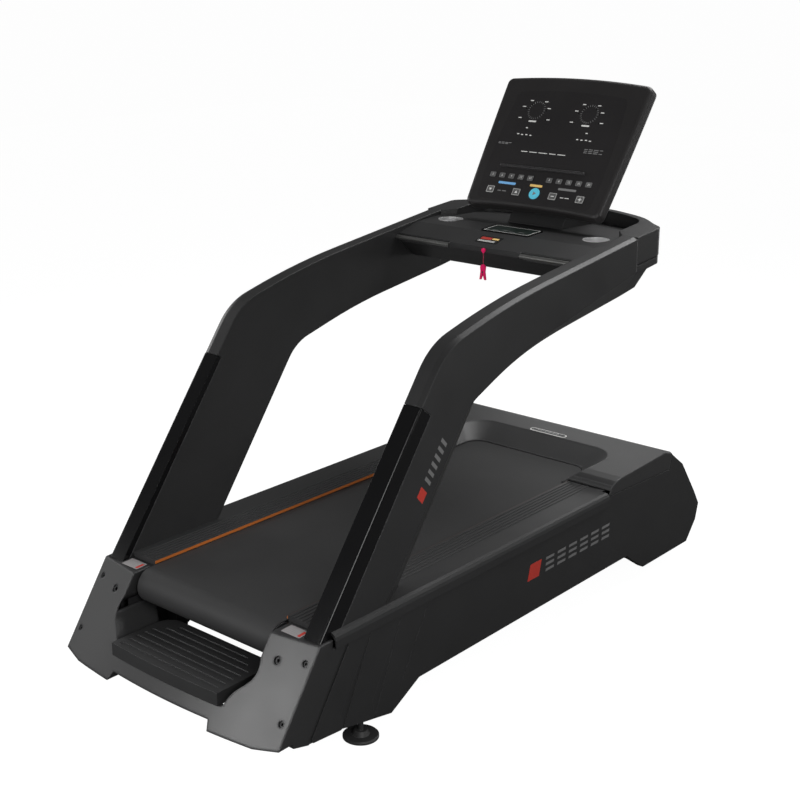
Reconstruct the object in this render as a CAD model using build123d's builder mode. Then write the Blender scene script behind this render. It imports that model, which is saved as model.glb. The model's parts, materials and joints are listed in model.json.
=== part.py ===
from build123d import *
import os
from math import atan, cos, radians, sin, tan

# A commercial treadmill, in millimetres.  X is the user's right, +Y runs forward from the step to
# the motor hood and Z is up.  The origin is on the floor, under the middle of the machine.

os.makedirs("parts", exist_ok=True)

# ---- driving dimensions -------------------------------------------------------------------------
BELT_TOP = 397.0
BELT_THICK = 3.0
BELT_HALF = 280.0
ROLLER_R = 50.7
ROLLER_GAP = 0.3
REAR_AXLE = (-900.0, 343.0)
FRONT_AXLE = (750.0, 343.0)
SHAFT_R = 10.0
BORE_GAP = 0.05

RAIL_IN = 300.0
RAIL_OUT = 340.0
RAIL_Z0 = 262.0
RAIL_Z1 = 322.0
RAIL_Y0 = -975.0
RAIL_Y1 = 1000.0
TUBE_WALL = 3.0

SIDE_X = 455.0
SIDE_IN = 430.0
WALL = 4.0
FOOTRAIL_X0 = 282.0
FOOTRAIL_RIB_X = 372.0
FOOTRAIL_X1 = 465.0
FOOTRAIL_Z0 = 408.0
FOOTRAIL_Z1 = 391.0
FOOTRAIL_Y0 = -880.0
FOOTRAIL_Y1 = 640.0

CAP_TOP = 389.0
CAP_LOW = 147.0
CAP_LEAN = 0.678
CAP_SIDE_Y = -1096.0
CAP_SAG = 39.8
CAP_MOUTH = 292.0
STEP_TOP = 242.0
STEP_LOW = 202.0
STEP_HALF = 226.0

ARM_IN = 385.0
ARM_OUT = 446.0
ARM_BASE = 376.0
ARM_END = 600.0
ARM_LEAN = 1.355
INSERT_WIDTH = 48.0
INSERT_SEAM = (-500.6, 948.0)
UPRIGHT_TUBE_R = 20.0

MOTOR_AXLE = (890.0, 340.0)
MOTOR_R = 60.0
DRIVE_PULLEY_R = 60.0
MOTOR_PULLEY_R = 30.0
PULLEY_X0 = -369.0
PULLEY_X1 = -345.0

LIFT_PIVOT = (560.0, 240.0)
WHEEL_AXLE = (890.0, 45.0)
WHEEL_R = 45.0
FOOT_X = 396.0
FOOT_Y = -712.0
FOOT_R = 53.0
FOOT_STOP = 95.0

RING_TOP = 1278.0
RING_SLOPE = 0.09
RING_REF_Y = 735.0
GROOVE_Z = 1172.0
GROOVE_SLOPE = 0.088
CUP_X = 308.0
CUP_Y = 562.0
CUP_R = 45.0
CUP_DEPTH = 70.0

CONSOLE_FOOT = (605.0, 1310.0)
CONSOLE_LEAN = 34.0
CONSOLE_FRONT_THICK = 44.0
CONSOLE_BACK_THICK = 22.0
CONSOLE_ROUNDING = 16.0
KEY_GAP = 0.6
KEY_PROUD = 1.6
KEY_DEPTH = 5.0
NECK_HALF = 115.0
NECK_SIDE = [(643, 1247), (838, 1241.8), (850, 1440), (840, 1500), (822, 1513)]


# ---- helpers ------------------------------------------------------------------------------------
def finish(shape, name):
    """Label one finished piece and write it out."""
    shape.label = name
    export_step(shape, f"parts/{name}.step")


def both_sides(shape, name):
    """Write a right-hand piece and its mirror image."""
    finish(shape, f"right_{name}")
    finish(mirror(shape, about=Plane.YZ), f"left_{name}")


def side_slab(outline, x_from, x_to):
    """A straight-edged (Y, Z) outline, pushed along X."""
    with BuildPart() as slab:
        with BuildSketch(Plane.YZ.offset(x_from)):
            with BuildLine():
                Polyline(*outline, close=True)
            make_face()
        extrude(amount=x_to - x_from)
    return slab.part


def block(x, y, z):
    """A box given by its three (low, high) spans."""
    with BuildPart() as box:
        with BuildSketch(Plane.XY.offset(z[0])):
            with Locations(((x[0] + x[1]) / 2, (y[0] + y[1]) / 2)):
                Rectangle(x[1] - x[0], y[1] - y[0])
        extrude(amount=z[1] - z[0])
    return box.part


def rod(radius, axle, x_from, x_to, bore=0.0):
    """A round bar or tube along X at the (Y, Z) place axle."""
    with BuildPart() as bar:
        with BuildSketch(Plane.YZ.offset(x_from)):
            with Locations(axle):
                Circle(radius)
                if bore:
                    Circle(bore, mode=Mode.SUBTRACT)
        extrude(amount=x_to - x_from)
    return bar.part


def blend(first, second, share):
    """The point that lies share of the way from first to second."""
    return tuple(a + (b - a) * share for a, b in zip(first, second))


# ---- running deck -------------------------------------------------------------------------------
def belt_loop(radius):
    """Sketch the stadium outline that a belt of this radius takes round both rollers."""
    length = FRONT_AXLE[0] - REAR_AXLE[0]
    with Locations(((FRONT_AXLE[0] + REAR_AXLE[0]) / 2, REAR_AXLE[1])):
        return SlotCenterToCenter(length, 2 * radius)


with BuildPart() as running_belt:
    with BuildSketch(Plane.YZ.offset(-BELT_HALF)):
        belt_loop(ROLLER_R + ROLLER_GAP + BELT_THICK)
        with Locations(((FRONT_AXLE[0] + REAR_AXLE[0]) / 2, REAR_AXLE[1])):
            SlotCenterToCenter(
                FRONT_AXLE[0] - REAR_AXLE[0], 2 * (ROLLER_R + ROLLER_GAP), mode=Mode.SUBTRACT
            )
    extrude(amount=2 * BELT_HALF)
finish(running_belt.part, "running_belt")

BOARD_TOP = BELT_TOP - BELT_THICK
BOARD_LOW = BOARD_TOP - 25.0
BOARD_Y0 = -840.0
BOARD_Y1 = 690.0
finish(block((-RAIL_OUT, RAIL_OUT), (BOARD_Y0, BOARD_Y1), (BOARD_LOW, BOARD_TOP)), "deck_board")

with BuildPart() as deck_cushions:
    with BuildSketch(Plane.XY.offset(RAIL_Z1)):
        for side in (-1, 1):
            for spot in (-800.0, -440.0, -60.0, 300.0, 640.0):
                with Locations((side * (RAIL_IN + RAIL_OUT) / 2, spot)):
                    Circle(18)
    extrude(amount=BOARD_LOW - RAIL_Z1)
finish(deck_cushions.part, "deck_cushions")

rear_roller = rod(ROLLER_R, REAR_AXLE, -283, 283) + rod(SHAFT_R, REAR_AXLE, -328, 328)
finish(rear_roller, "rear_roller")

# The drive roller carries a grooved pulley outside the left frame rail.
drive_roller = rod(ROLLER_R, FRONT_AXLE, -283, 283) + rod(SHAFT_R, FRONT_AXLE, PULLEY_X0, 328)
drive_roller += rod(DRIVE_PULLEY_R, FRONT_AXLE, PULLEY_X0, PULLEY_X1)
for flange_x in (PULLEY_X0 - 3, PULLEY_X1):
    drive_roller += rod(DRIVE_PULLEY_R + 6, FRONT_AXLE, flange_x, flange_x + 3)
finish(drive_roller, "drive_roller")

with BuildPart() as roller_bearings:
    for side in (-1, 1):
        for axle_y, axle_z in (REAR_AXLE, FRONT_AXLE):
            with BuildSketch(Plane.YZ.offset(side * 315 - 14)):
                with Locations((axle_y, axle_z)):
                    with Locations((8, 2)):
                        Rectangle(40, 46)
                    Circle(SHAFT_R + BORE_GAP, mode=Mode.SUBTRACT)
            extrude(amount=28)
finish(roller_bearings.part, "roller_bearings")


# ---- steel frame --------------------------------------------------------------------------------
with BuildPart() as frame_rails:
    for side in (-1, 1):
        with BuildSketch(Plane.XZ.offset(-RAIL_Y0)):
            with Locations((side * (RAIL_IN + RAIL_OUT) / 2, (RAIL_Z0 + RAIL_Z1) / 2)):
                Rectangle(RAIL_OUT - RAIL_IN, RAIL_Z1 - RAIL_Z0)
                Rectangle(
                    RAIL_OUT - RAIL_IN - 2 * TUBE_WALL,
                    RAIL_Z1 - RAIL_Z0 - 2 * TUBE_WALL,
                    mode=Mode.SUBTRACT,
                )
        extrude(amount=-(RAIL_Y1 - RAIL_Y0))
finish(frame_rails.part, "frame_rails")

# Cross tubes between the rails, the tray under the motor and the ears of the lift pivot.
cross = Part()
for middle in (-820.0, -400.0, 100.0, 580.0):
    cross += block((-RAIL_IN, RAIL_IN), (middle - 20, middle + 20), (RAIL_Z0, RAIL_Z0 + 20))
    cross -= block((-RAIL_IN, RAIL_IN), (middle - 17, middle + 17), (RAIL_Z0 + 3, RAIL_Z0 + 17))
cross += block((-RAIL_IN, RAIL_IN), (815, 970), (RAIL_Z1 - 48, RAIL_Z1 - 42))
cross += block((-RAIL_IN, RAIL_IN), (970, RAIL_Y1), (RAIL_Z0, RAIL_Z1 - 42))
cross -= block((-RAIL_IN, RAIL_IN), (973, RAIL_Y1 - 3), (RAIL_Z0 + 3, RAIL_Z1 - 45))
cross += block((-50, 50), (815, 970), (RAIL_Z0, RAIL_Z1 - 48))
pivot_y = LIFT_PIVOT[0]
ear = [(pivot_y - 30, RAIL_Z0), (pivot_y + 40, RAIL_Z0), (pivot_y + 25, 222), (pivot_y, 214),
       (pivot_y - 25, 222)]
for inner_x in (-292.0, 278.0):
    ears = side_slab(ear, inner_x, inner_x + 14) - rod(10 + BORE_GAP, LIFT_PIVOT, inner_x, inner_x + 14)
    cross += ears
finish(cross, "frame_crossmembers")

# Outriggers carry the uprights and the levelling feet, outside the rails.
outrigger = block((RAIL_OUT, 428), (-960, -865), (RAIL_Z0, RAIL_Z1))
outrigger += block((RAIL_OUT, 418), (FOOT_Y - 24, FOOT_Y + 24), (RAIL_Z0, RAIL_Z0 + 40))
outrigger += block((FOOT_X - 22, FOOT_X + 22), (FOOT_Y - 22, FOOT_Y + 22), (FOOT_STOP, RAIL_Z0))
with BuildPart() as foot_bore:
    with BuildSketch(Plane.XY.offset(FOOT_STOP)):
        with Locations((FOOT_X, FOOT_Y)):
            Circle(8 + BORE_GAP)
    extrude(amount=115)
outrigger -= foot_bore.part
finish(Part() + [outrigger, mirror(outrigger, about=Plane.YZ)], "frame_outriggers")


# ---- uprights and handrails ---------------------------------------------------------------------
# Each cover is a ruled skin between an inner and an outer side view.  The corner lists run up the
# rear edge, along the top, down the seam with the console ring and back along the underside.
def rear_edge(y_at_410, height):
    """The Y of a leaning rear edge that passes y_at_410 at 410 mm above the floor."""
    return y_at_410 + (height - 410.0) / ARM_LEAN


ARM_INNER = [
    (rear_edge(-909.0, ARM_BASE), ARM_BASE),
    (-398, 1098),
    (-107, 1175.6),
    (ARM_END, 1265.8),
    (ARM_END, 1060),
    (142.5, 999),
    (-159, 921),
    (-558, ARM_BASE),
]
ARM_OUTER = [
    (rear_edge(-909.0, ARM_BASE), ARM_BASE),
    (-398, 1098),
    (-107, 1175.6),
    (ARM_END, 1265.8),
    (ARM_END, 1150),
    (-40, 1010),
    (-285, 907),
    (-684, ARM_BASE),
]
ARM_RADII_IN = [220, 3000, 0, 0, 2400, 160]
ARM_RADII_OUT = [220, 3000, 0, 0, 1500, 150]
# The chamfer along the rear edge and the top: its width on the outer face and across the edge.
RIM_DOWN = 6.0
RIM_ACROSS = 17.0
INSERT_ROUNDING = 8.0
INSERT_LIP = 12.0


def arm_section(share, inset=0.0):
    """The (Y, Z) face of the cover at this share of its thickness, drawn in by inset."""
    corners = [blend(a, b, share) for a, b in zip(ARM_INNER, ARM_OUTER)]
    radii = [a + (b - a) * share for a, b in zip(ARM_RADII_IN, ARM_RADII_OUT)]
    x = ARM_IN + (ARM_OUT - ARM_IN) * share
    with BuildSketch(Plane.YZ.offset(x)) as section:
        with BuildLine():
            rising = FilletPolyline(*corners[:4], radius=radii[:2])
            falling = FilletPolyline(*corners[4:], radius=radii[4:])
            Line(rising @ 1, falling @ 0)
            Line(falling @ 1, rising @ 0)
        make_face()
        if inset:
            offset(amount=-inset, kind=Kind.INTERSECTION)
    return section.sketch


def arm_loft(first, second):
    """A ruled skin from one section of the cover to the next."""
    with BuildPart() as skin:
        add(first)
        add(second)
        loft(ruled=True)
    return skin.part


arm_full = arm_loft(arm_section(0.0), arm_section(1.0))
with BuildLine(Plane.YZ.offset(ARM_OUT)) as rim_line:
    FilletPolyline(*ARM_OUTER[:4], radius=ARM_RADII_OUT[:2])
rim_edges = [edge for edge in arm_full.edges() if rim_line.line.distance_to(edge @ 0.5) < 0.1]
outer_face = arm_full.faces().sort_by(Axis.X)[-1]
arm_rimmed = chamfer(rim_edges, length=RIM_DOWN, length2=RIM_ACROSS, reference=outer_face)
arm_hollow = arm_loft(arm_section(0.08, inset=12), arm_section(0.92, inset=12))
# The hollow runs out through the foot and through the seam with the ring.
foot_hollow = side_slab(
    [(rear_edge(-880, 370), 370), (rear_edge(-880, 400), 400), (-684, 400), (-707, 370)],
    ARM_IN + 6, ARM_OUT - 6,
)
seam_hollow = block((ARM_IN + 6, ARM_OUT - 12), (ARM_END - 20, ARM_END + 1), (1175, 1238))
arm_voids = arm_hollow + foot_hollow + seam_hollow


def leaning_strip(width, gap, x_from, x_to):
    """A strip of this width along the rear edge of the upright, below the insert's seam."""
    seam_y, seam_z = INSERT_SEAM
    run = (width - gap) * sin(atan(ARM_LEAN))
    rise = (width - gap) * cos(atan(ARM_LEAN))
    top = (seam_y - gap / ARM_LEAN, seam_z - gap)
    low = (rear_edge(top[0] - (top[1] - 410.0) / ARM_LEAN, ARM_BASE - 10), ARM_BASE - 10)
    return side_slab(
        [
            (low[0] - 60, low[1]),
            (top[0] - 60, top[1] + 60 / ARM_LEAN),
            top,
            (top[0] + run, top[1] - rise),
            (low[0] + run + rise / ARM_LEAN, low[1]),
        ],
        x_from,
        x_to,
    )


def insert_zone(gap):
    """The room that the glossy insert takes up: the rear edge, and a panel on the outer side."""
    corner = ARM_IN + INSERT_LIP
    rear = leaning_strip(INSERT_LIP, gap, ARM_IN - 1, corner + 1)
    return rear + leaning_strip(INSERT_WIDTH, gap, corner, ARM_OUT + 1)


arm_rounded = fillet(rim_edges, INSERT_ROUNDING)
upright_insert = (arm_rounded & insert_zone(1.5)) - arm_voids
arm_cover = arm_rimmed - insert_zone(0.0) - arm_voids
both_sides(arm_cover, "arm_cover")
both_sides(upright_insert, "upright_insert")

with BuildPart() as upright_tube:
    with BuildLine(Plane.YZ.offset((ARM_IN + ARM_OUT) / 2)) as tube_path:
        FilletPolyline((-900, RAIL_Z1), (-350, 1030), (187, 1139), (572, 1193), radius=[170, 6000])
    with BuildSketch(Plane(tube_path.line @ 0, z_dir=tube_path.line % 0)):
        Circle(UPRIGHT_TUBE_R)
        Circle(UPRIGHT_TUBE_R - TUBE_WALL, mode=Mode.SUBTRACT)
    sweep()
tube = upright_tube.part - block((300, 500), (-1100, -800), (200, RAIL_Z1))
finish(Part() + [tube, mirror(tube, about=Plane.YZ)], "upright_tubes")


# ---- foot rails ---------------------------------------------------------------------------------
RIB_COUNT = 6
RIB_PITCH = 14.5
RIB_WIDTH = 8.5
RIB_HIGH = 2.0
SKIN = 5.0


def rail_outline():
    """The (X, Z) section: a ribbed tread, a plain shoulder and a lip over the side cover."""
    points = [(FOOTRAIL_X0, BELT_TOP + 2), (FOOTRAIL_X0, FOOTRAIL_Z0)]
    for rib in range(RIB_COUNT):
        start = FOOTRAIL_X0 + 4 + rib * RIB_PITCH
        points += [
            (start, FOOTRAIL_Z0),
            (start + 1, FOOTRAIL_Z0 + RIB_HIGH),
            (start + RIB_WIDTH - 1, FOOTRAIL_Z0 + RIB_HIGH),
            (start + RIB_WIDTH, FOOTRAIL_Z0),
        ]
    lip = FOOTRAIL_X1 - WALL
    points += [
        (FOOTRAIL_RIB_X, FOOTRAIL_Z0),
        (FOOTRAIL_X1 - 18, FOOTRAIL_Z0 + 3),
        (FOOTRAIL_X1 - 8, FOOTRAIL_Z0),
        (FOOTRAIL_X1 - 2, FOOTRAIL_Z0 - 7),
        (FOOTRAIL_X1, FOOTRAIL_Z1),
        (FOOTRAIL_X1, FOOTRAIL_Z1 - 25),
        (lip, FOOTRAIL_Z1 - 25),
        (lip, FOOTRAIL_Z1),
        (FOOTRAIL_X1 - 18, FOOTRAIL_Z0 - SKIN),
        (FOOTRAIL_RIB_X, FOOTRAIL_Z0 - SKIN),
        (FOOTRAIL_X0 + SKIN, FOOTRAIL_Z0 - SKIN),
        (FOOTRAIL_X0 + SKIN, BELT_TOP + 2),
    ]
    return points


with BuildPart() as foot_rail:
    with BuildSketch(Plane.XZ.offset(-FOOTRAIL_Y0)):
        with BuildLine():
            Polyline(*rail_outline(), close=True)
        make_face()
    extrude(amount=-(FOOTRAIL_Y1 - FOOTRAIL_Y0))
    add(arm_full, mode=Mode.SUBTRACT)
under_hood = block((SIDE_IN - 1, FOOTRAIL_X1), (472, FOOTRAIL_Y1), (360, FOOTRAIL_Z0 + 6))
both_sides(foot_rail.part - under_hood, "foot_rail")

trim_x = (FOOTRAIL_X0 - 1.5, FOOTRAIL_X0)
rail_trim = block(trim_x, (FOOTRAIL_Y0, FOOTRAIL_Y1 - 5), (BELT_TOP + 2, FOOTRAIL_Z0))
rail_trims = Part() + [rail_trim, mirror(rail_trim, about=Plane.YZ)]
finish(rail_trims, "rail_trims")


# ---- rear cap and step --------------------------------------------------------------------------
CAP_FRONT_LOW = (-982.0, 119.0)
CAP_FRONT_TOP = (-799.0, 396.0)
LIP_TOP = 162.0


def cap_plan(height, inset=0.0, front=0.0):
    """Plan of the cap: a shallow arc behind, and the leaning seam with the side cover in front."""
    rear = CAP_SIDE_Y + CAP_LEAN * (height - CAP_LOW) + inset
    seam = blend(CAP_FRONT_LOW, CAP_FRONT_TOP, (height - 119.0) / 277.0)[0] + front
    half = SIDE_X - inset
    with BuildSketch(Plane.XY.offset(height)) as plan:
        with BuildLine():
            ThreePointArc((-half, rear), (0, rear - CAP_SAG), (half, rear))
            Polyline((half, rear), (half, seam), (-half, seam), (-half, rear))
        make_face()
    return plan.sketch


def end_slab(outline, y_from, y_to):
    """A straight-edged (X, Z) outline, pushed along Y."""
    with BuildPart() as slab:
        with BuildSketch(Plane.XZ.offset(-y_from)):
            with BuildLine():
                Polyline(*outline, close=True)
            make_face()
        extrude(amount=-(y_to - y_from))
    return slab.part


with BuildPart() as cap:
    add(cap_plan(116.0))
    add(cap_plan(412.0))
    loft(ruled=True)
with BuildPart() as cap_hollow:
    add(cap_plan(100.0, inset=6, front=80))
    add(cap_plan(375.0, inset=6, front=80))
    loft(ruled=True)
pillar_hollow = cap_hollow.part & block((298, 449), (-1200, -600), (153, 375))
tube_way = block((388, 443), (-922, -840), (330, 400))
for hollow in (pillar_hollow, tube_way):
    cap.part -= hollow
    cap.part -= mirror(hollow, about=Plane.YZ)
cap_body = cap.part

# The mouth narrows from the belt's width to the step's width.
with BuildPart() as mouth:
    with BuildSketch(Plane.XZ.offset(1250)):
        with BuildLine():
            Polyline((-CAP_MOUTH, 420), (-CAP_MOUTH, 330))
            Spline((-CAP_MOUTH, 330), (-284, 268), (-250, 236), (-236, STEP_LOW))
            Line((-236, STEP_LOW), (236, STEP_LOW))
            Spline((236, STEP_LOW), (250, 236), (284, 268), (CAP_MOUTH, 330))
            Polyline((CAP_MOUTH, 330), (CAP_MOUTH, 420), (-CAP_MOUTH, 420))
        make_face()
    extrude(amount=-600)
cap_body -= mouth.part
cap_body -= block((-250, 250), (-1080, -600), (100, STEP_LOW + 1))
cap_body -= end_slab([(-204, LIP_TOP), (204, LIP_TOP), (216, 136), (216, 90), (-216, 90), (-216, 136)],
                     -1250, -600)
under = [(-1250, 137), (-1050, 137), (-984, 119), (-600, 18), (-600, 0), (-1250, 0)]
cap_body -= side_slab(under, -500, 500)
corner_cut = [(375, 90), (375, 137), (SIDE_X, 149), (SIDE_X + 5, 149), (SIDE_X + 5, 90)]
low_corner = end_slab(corner_cut, -1250, -1040)
cap_body -= low_corner + mirror(low_corner, about=Plane.YZ)
over = [(-1250, 352), (-980, CAP_TOP), (-882, CAP_TOP + 4), (-882, 366), (-600, 366), (-600, 450),
        (-1250, 450)]
cap_body -= side_slab(over, -500, 500)
cap_body -= rod(16, REAR_AXLE, -300, 300)
for side_arm in (arm_full, mirror(arm_full, about=Plane.YZ)):
    cap_body -= side_arm

# Recessed screws sit square to the leaning rear face.
BOLT_SPOTS = ((346.0, 336.0, 10.5), (430.0, 347.0, 7.5), (430.5, 207.5, 7.5))
BOLT_TILT = Vector(0, -cos(radians(34.1)), sin(radians(34.1)))


def cap_rear(x, z):
    """A point of the cap's rear face."""
    sag = CAP_SAG * (1 - (x / SIDE_X) ** 2)
    return Vector(x, CAP_SIDE_Y - sag + CAP_LEAN * (z - CAP_LOW), z)


def bolt(side, x, z, radius, grow, length):
    """A cylinder that runs into the cap from 3 mm below its rear face."""
    face = cap_rear(x, z)
    start = Vector(side * face.X, face.Y, face.Z) - BOLT_TILT * (0 if grow else 4)
    with BuildPart() as shank:
        with BuildSketch(Plane(start, z_dir=BOLT_TILT)):
            Circle(radius + grow)
            if not grow:
                RegularPolygon(radius * 0.55, 6, mode=Mode.SUBTRACT)
        extrude(amount=-length)
        if grow:
            extrude(shank.faces().sort_by(Axis((0, 0, 0), tuple(BOLT_TILT)))[-1], amount=8)
    return shank.part


bolts = []
for side in (-1, 1):
    for bolt_x, bolt_z, bolt_r in BOLT_SPOTS:
        cap_body -= bolt(side, bolt_x, bolt_z, bolt_r, 1.2, 30)
        bolts.append(bolt(side, bolt_x, bolt_z, bolt_r, 0.0, 9))
finish(cap_body, "rear_cap")
finish(Part() + bolts, "cap_bolts")

# The step is a ribbed pedal with rounded front corners, open underneath.
STEP_REAR = -1100.0
STEP_FRONT = -880.0
with BuildPart() as rear_step:
    with BuildSketch(Plane.XY.offset(STEP_LOW)):
        with BuildLine():
            ThreePointArc((-STEP_HALF, STEP_REAR), (0, STEP_REAR - 8), (STEP_HALF, STEP_REAR))
            Polyline((STEP_HALF, STEP_REAR), (STEP_HALF, STEP_FRONT), (-STEP_HALF, STEP_FRONT),
                     (-STEP_HALF, STEP_REAR))
        make_face()
        fillet(vertices().group_by(Axis.Y)[-1], 55)
    extrude(amount=STEP_TOP - STEP_LOW)
    with BuildSketch(Plane.XY.offset(STEP_LOW)):
        with Locations((0, (STEP_REAR + STEP_FRONT) / 2)):
            RectangleRounded(2 * STEP_HALF - 12, STEP_FRONT - STEP_REAR - 12, 49)
    extrude(amount=STEP_TOP - STEP_LOW - 7, mode=Mode.SUBTRACT)
    with BuildSketch(Plane.XY.offset(STEP_TOP)):
        for rib in range(7):
            with Locations((0, STEP_REAR + 20 + rib * 28)):
                SlotOverall(2 * STEP_HALF - 40 - 60 * (rib > 4) * (rib - 4), 12)
    extrude(amount=-3, mode=Mode.SUBTRACT)
finish(rear_step.part, "rear_step")


# ---- side covers, hood and nose -----------------------------------------------------------------
NOSE = [(898, 436), (982, 375), (1081, 242), (1120.5, 182), (1104, 119), (1044, 47), (736, 48)]
SEAM_REAR = (490.0, 396.5)
SEAM_FRONT = (884.0, 381.5)
side_outline = [(-812.2, 376), (472, 376), SEAM_REAR, SEAM_FRONT] + NOSE + [
    (648, 106),
    (618, 129),
    (-520, 129),
    (-643, 65),
    (-849, 107),
    CAP_FRONT_LOW,
]
with BuildPart() as side_cover:
    with BuildSketch(Plane.YZ.offset(SIDE_IN)):
        with BuildLine():
            Polyline(*side_outline, close=True)
        make_face()
    extrude(amount=SIDE_X - SIDE_IN)
    chamfer(side_cover.faces().sort_by(Axis.X)[-1].edges(), 2.5)
    with BuildSketch(Plane.YZ.offset(SIDE_IN)):
        with BuildLine():
            Polyline(*side_outline, close=True)
        make_face()
        offset(amount=-WALL, kind=Kind.INTERSECTION)
    extrude(amount=SIDE_X - SIDE_IN - WALL, mode=Mode.SUBTRACT)

# Three leaning panels overlap along the rear of the side, each standing prouder than the next.
LEAN_LINES = (((-982, 122), (-814, 374)), ((-862, 154), (-728, 368)),
              ((-728, 143), (-600, 366)), ((-601, 150), (-479, 360)))
LOW_EDGE = ((-982, 122), (-850, 110), (-720, 84), (-618, 84))
for panel in range(3):
    rear_line, front_line = LEAN_LINES[panel], LEAN_LINES[panel + 1]
    low_rear, low_front = LOW_EDGE[panel], LOW_EDGE[panel + 1]
    with BuildPart() as raised:
        with BuildSketch(Plane.YZ.offset(SIDE_X)):
            with BuildLine():
                Polyline(low_rear, rear_line[1], front_line[1], front_line[0], low_front, close=True)
            make_face()
            fillet(vertices().group_by(Axis.Z)[-1], 9)
        extrude(amount=4.5 - 1.5 * panel)
    side_cover.part += raised.part
for low, high in LEAN_LINES[1:]:
    lean = Vector(high[0] - low[0], high[1] - low[1]).normalized()
    foot, head = Vector(*low), Vector(*high) - lean * 12
    with BuildPart() as groove:
        with BuildSketch(Plane.YZ.offset(SIDE_X - 2)):
            with BuildLine():
                Line((foot.X, foot.Y), (head.X, head.Y))
            trace(line_width=4)
        extrude(amount=12)
    side_cover.part -= groove.part
both_sides(side_cover.part, "side_cover")

hood_side = [(484, 397), (498, 424), (525, 438), (560, 443), (860, 455), (890, 446), (897, 436),
             SEAM_FRONT, SEAM_REAR]
with BuildPart() as motor_hood:
    with BuildSketch(Plane.YZ.offset(-SIDE_X)) as hood_face:
        with BuildLine():
            Polyline(*hood_side, close=True)
        make_face()
    extrude(amount=2 * SIDE_X)
    chamfer(motor_hood.faces().filter_by(Axis.X).edges().group_by(Axis.Z)[-1], 5)
inner_edge = block((-SIDE_IN, SIDE_IN), (840, 900), (360, 430))
hood_hollow = side_slab([(505, 370), (505, 425), (562, 438), (860, 450), (892, 433), (880, 370)],
                        -SIDE_X + WALL, SIDE_X - WALL)


def hood_mouth(height, half, depth, corner):
    """One level of the opening that the belt runs through, open towards the rear."""
    with BuildSketch(Plane.XY.offset(height)) as level:
        with Locations((0, (depth + 300) / 2)):
            Rectangle(2 * half, depth - 300)
        fillet(level.vertices().group_by(Axis.Y)[-1], corner)
    return level.sketch


with BuildPart() as hood_cut:
    add(hood_mouth(370, 215, 605, 30))
    add(hood_mouth(470, 350, 785, 120))
    loft(ruled=True)
with BuildPart() as hood_cut_lined:
    add(hood_mouth(370, 220, 610, 33))
    add(hood_mouth(470, 355, 790, 123))
    loft(ruled=True)
hood_lining = (motor_hood.part & hood_cut_lined.part) - hood_cut.part
hood = (motor_hood.part - hood_hollow - hood_cut.part) + hood_lining
foot_rail_slot = block((FOOTRAIL_X0 - 3, SIDE_X - WALL), (400, FOOTRAIL_Y1), (360, 412))
belt_slot = block((-350, 350), (400, 900), (360, BELT_TOP + 2))
for slot in (foot_rail_slot, mirror(foot_rail_slot, about=Plane.YZ), belt_slot, inner_edge):
    hood -= slot
finish(hood, "motor_hood")

with BuildPart() as front_cover:
    with BuildSketch(Plane.YZ.offset(-SIDE_IN)):
        with BuildLine():
            Polyline((736, 436), *NOSE, close=True)
        make_face()
        offset(amount=-WALL, kind=Kind.INTERSECTION, mode=Mode.SUBTRACT)
    extrude(amount=2 * SIDE_IN)
front_cover.part -= block((-500, 500), (700, 760), (40, 440))
front_cover.part -= side_slab([(700, 440), (700, 430), (890, 430), (896, 440)], -500, 500)
lift_slot = block((-330, 330), (700, 960), (40, 56))
hood_seat = side_slab(hood_side, -SIDE_IN, SIDE_IN)
finish(front_cover.part - lift_slot - hood_seat, "front_cover")


# ---- drive and lift machinery -------------------------------------------------------------------
drive_motor = rod(MOTOR_R, MOTOR_AXLE, -290, -60) + rod(MOTOR_R - 14, MOTOR_AXLE, -60, -48)
drive_motor += block((-270, -90), (MOTOR_AXLE[0] - 45, MOTOR_AXLE[0] + 45), (RAIL_Z1 - 42, 300))
drive_motor -= rod(SHAFT_R + BORE_GAP, MOTOR_AXLE, -290, -230)
finish(drive_motor, "drive_motor")

motor_pulley = rod(SHAFT_R, MOTOR_AXLE, PULLEY_X0, -230)
motor_pulley += rod(MOTOR_PULLEY_R, MOTOR_AXLE, PULLEY_X0, PULLEY_X1)
for flange_x in (PULLEY_X0 - 3, PULLEY_X1):
    motor_pulley += rod(MOTOR_PULLEY_R + 5, MOTOR_AXLE, flange_x, flange_x + 3)
finish(motor_pulley, "motor_pulley")


def pulley_loop(grow):
    """The face inside a belt that is drawn tight round both pulleys."""
    with BuildSketch(Plane.YZ.offset(PULLEY_X0 + 3)) as loop:
        with Locations(FRONT_AXLE):
            Circle(DRIVE_PULLEY_R + grow)
        with Locations(MOTOR_AXLE):
            Circle(MOTOR_PULLEY_R + grow)
        make_hull()
    return loop.sketch


with BuildPart() as drive_belt:
    add(extrude(pulley_loop(ROLLER_GAP + 3.5), amount=18, mode=Mode.PRIVATE))
    add(extrude(pulley_loop(ROLLER_GAP), amount=18, mode=Mode.PRIVATE), mode=Mode.SUBTRACT)
finish(drive_belt.part, "drive_belt")

controller = block((60, 260), (830, 955), (RAIL_Z1 - 42, 350))
for fin in range(8):
    controller += block((70 + fin * 24, 76 + fin * 24), (840, 945), (350, 368))
finish(controller, "motor_controller")

lift_motor = block((-38, 38), (1003, 1060), (190, RAIL_Z0 - 4))
lift_motor += block((-50, 50), (1000, 1012), (185, RAIL_Z1 - 42))
with BuildPart() as lift_screw:
    with BuildSketch(Plane(Vector(0, 1003, 225), z_dir=Vector(0, -1, -0.16))):
        Circle(14)
    extrude(amount=190)
finish(lift_motor + lift_screw.part, "lift_motor")

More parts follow.
